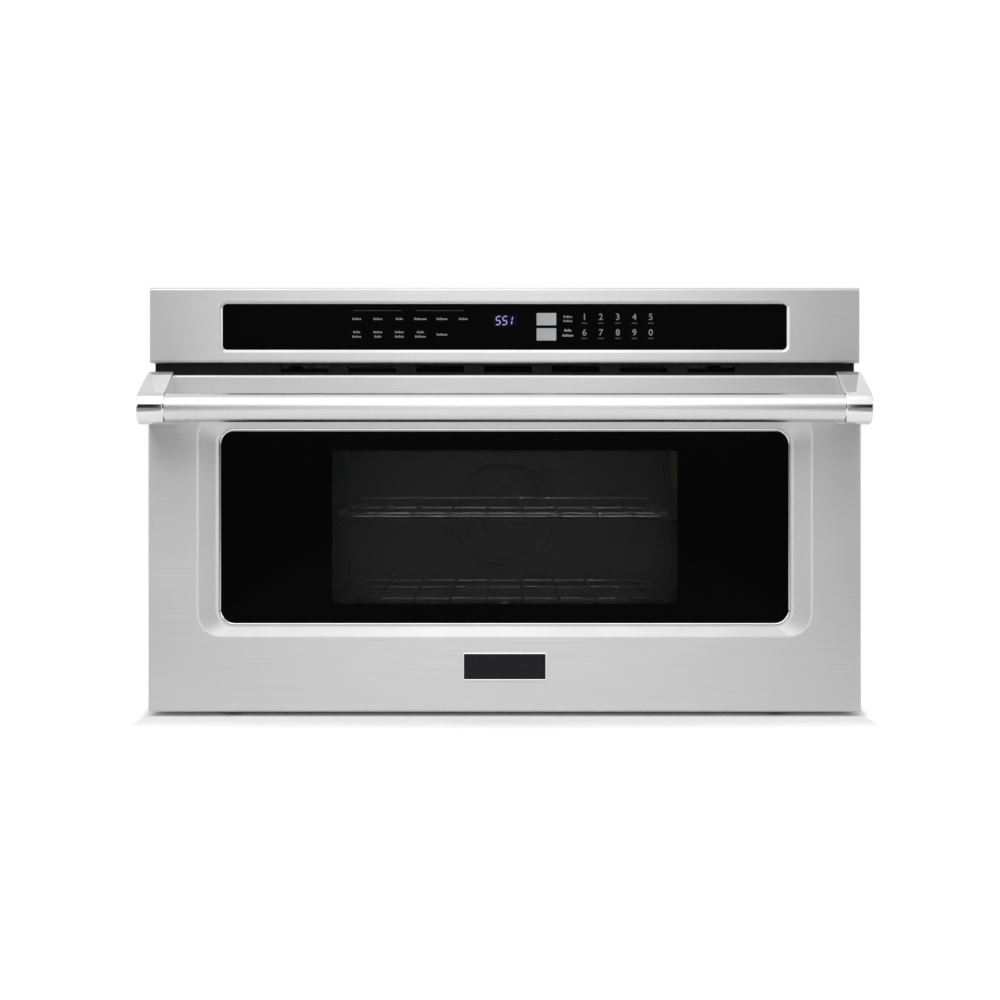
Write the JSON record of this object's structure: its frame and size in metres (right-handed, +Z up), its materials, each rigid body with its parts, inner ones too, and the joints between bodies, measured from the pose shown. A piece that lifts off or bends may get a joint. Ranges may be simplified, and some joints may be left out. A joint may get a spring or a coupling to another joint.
{
  "type": "combination microwave oven",
  "caption": "Built-in combination microwave oven with a drop-down glass door, tube handle, touch control panel, turntable, wire racks, grill element and convection fan.",
  "frame": {"origin": "centre of the bounding box's bottom face, on the underside of the base pan's plane", "axes": "+Z up, the door faces -Y, +X to the right of someone who stands before the door"},
  "size_m": [0.7556, 0.638, 0.455],
  "materials": {
    "steel_face": "fine brushed stainless steel, satin",
    "polished_tube": "bright satin stainless steel tube",
    "chrome": "polished chrome",
    "tinted_glass": "dark tinted glass, glossy",
    "black_glass": "black glass, glossy",
    "clear_glass": "clear glass",
    "black_enamel": "black enamel, semi-gloss",
    "cavity_enamel": "dark grey speckled enamel, semi-gloss",
    "screen": "perforated black screen",
    "black_plastic": "black moulded plastic",
    "dark_trim": "black painted sheet",
    "rack_chrome": "plated wire",
    "turntable_glass": "clear pressed glass",
    "white_plastic": "off-white heat resistant plastic",
    "heater_steel": "dark oxidised heater sheath",
    "mica": "mica sheet",
    "galvanized": "galvanized sheet steel",
    "zinc_steel": "zinc plated steel",
    "spring_steel": "oiled spring steel",
    "bare_aluminium": "bare aluminium",
    "motor_steel": "plain grey motor steel",
    "board": "green circuit board with dark parts"
  },
  "bodies": {
    "oven": {"base_pan": "galvanized", "cable_gland": "black_plastic", "cavity": "cavity_enamel", "control_board": "board", "control_fascia": "steel_face", "control_glass": "black_glass", "convection_housing": "galvanized", "convection_motor": "motor_steel", "exhaust_duct": "galvanized", "fan_cover": "cavity_enamel", "fan_housing": "black_plastic", "front_frame": "black_enamel", "grill_element": "heater_steel", "hinge_arm_left": "zinc_steel", "hinge_arm_right": "zinc_steel", "interlock_switches": "black_plastic", "inverter": "board", "magnetron": "bare_aluminium", "mounting_flange_left": "galvanized", "mounting_flange_right": "galvanized", "oven_lamp": "motor_steel", "panel_screws": "zinc_steel", "rack_guide_left": "cavity_enamel", "rack_guide_right": "cavity_enamel", "rear_panel": "galvanized", "ring_heater": "heater_steel", "side_panel_left": "galvanized", "side_panel_right": "galvanized", "top_cover": "galvanized", "turntable_motor": "motor_steel", "vent_grille": "dark_trim", "waveguide": "galvanized", "waveguide_cover": "mica"},
    "door": {"door_skin": "steel_face", "window_bezel": "chrome", "door_glass": "tinted_glass", "door_frame": "black_enamel", "choke_cover": "black_plastic", "inner_glass": "clear_glass", "door_screen": "screen", "handle_tube": "polished_tube", "handle_bracket_left": "chrome", "handle_bracket_right": "chrome", "hinge_cassette_left": "zinc_steel", "hinge_cassette_right": "zinc_steel", "hinge_pins": "zinc_steel", "hinge_springs": "spring_steel", "latch_brackets": "zinc_steel"},
    "latch_left": {"latch_hook_left": "white_plastic"},
    "latch_right": {"latch_hook_right": "white_plastic"},
    "turntable_assembly": {"turntable": "turntable_glass", "drive_coupler": "white_plastic"},
    "roller_ring_body": {"roller_ring": "white_plastic"},
    "roller_1_body": {"roller_1": "white_plastic"},
    "roller_2_body": {"roller_2": "white_plastic"},
    "roller_3_body": {"roller_3": "white_plastic"},
    "convection_fan_body": {"convection_fan": "bare_aluminium"},
    "cooling_fan_body": {"cooling_fan": "black_plastic"},
    "upper_rack_body": {"upper_rack": "rack_chrome"},
    "lower_rack_body": {"lower_rack": "rack_chrome"}
  },
  "joints": [
    {"name": "door_hinge", "type": "hinge", "parent": "oven", "child": "door", "pos_m": [0, -0.224, 0.026], "axis": [1, 0, 0], "range_deg": [0, 90], "stiffness_Nm_per_rad": 6, "springref_deg": -20.05},
    {"name": "latch_left_tip", "type": "hinge", "parent": "door", "child": "latch_left", "pos_m": [-0.262, -0.216, 0.335], "axis": [1, 0, 0], "range_deg": [-8, 0], "stiffness_Nm_per_rad": 0.2, "springref_deg": 2.86},
    {"name": "latch_right_tip", "type": "hinge", "parent": "door", "child": "latch_right", "pos_m": [0.262, -0.216, 0.335], "axis": [1, 0, 0], "range_deg": [-8, 0], "stiffness_Nm_per_rad": 0.2, "springref_deg": 2.86},
    {"name": "turntable_spin", "type": "hinge", "parent": "oven", "child": "turntable_assembly", "pos_m": [0, -0.001, 0.0936], "axis": [0, 0, 1], "continuous": true},
    {"name": "roller_ring_spin", "type": "hinge", "parent": "oven", "child": "roller_ring_body", "pos_m": [0, -0.001, 0.0863], "axis": [0, 0, 1], "continuous": true},
    {"name": "roller_1_spin", "type": "hinge", "parent": "roller_ring_body", "child": "roller_1_body", "pos_m": [0, 0.097, 0.0863], "axis": [0, 1, 0], "continuous": true},
    {"name": "roller_2_spin", "type": "hinge", "parent": "roller_ring_body", "child": "roller_2_body", "pos_m": [-0.08487, -0.05, 0.0863], "axis": [-0.866, -0.5, 0], "continuous": true},
    {"name": "roller_3_spin", "type": "hinge", "parent": "roller_ring_body", "child": "roller_3_body", "pos_m": [0.08487, -0.05, 0.0863], "axis": [0.866, -0.5, 0], "continuous": true},
    {"name": "convection_fan_spin", "type": "hinge", "parent": "oven", "child": "convection_fan_body", "pos_m": [0, 0.229, 0.194], "axis": [0, 1, 0], "continuous": true},
    {"name": "cooling_fan_spin", "type": "hinge", "parent": "oven", "child": "cooling_fan_body", "pos_m": [0.25, 0.291, 0.265], "axis": [0, 1, 0], "continuous": true},
    {"name": "upper_rack_lift", "type": "slide", "parent": "oven", "child": "upper_rack_body", "axis": [0, 0, 1], "range_m": [0, 0.012]},
    {"name": "lower_rack_lift", "type": "slide", "parent": "oven", "child": "lower_rack_body", "axis": [0, 0, 1], "range_m": [0, 0.012]}
  ],
  "couplings": [
    {"joint": "roller_ring_spin", "follows": "turntable_spin", "ratio": 0.5},
    {"joint": "roller_1_spin", "follows": "turntable_spin", "ratio": -7},
    {"joint": "roller_2_spin", "follows": "turntable_spin", "ratio": -7},
    {"joint": "roller_3_spin", "follows": "turntable_spin", "ratio": -7}
  ]
}
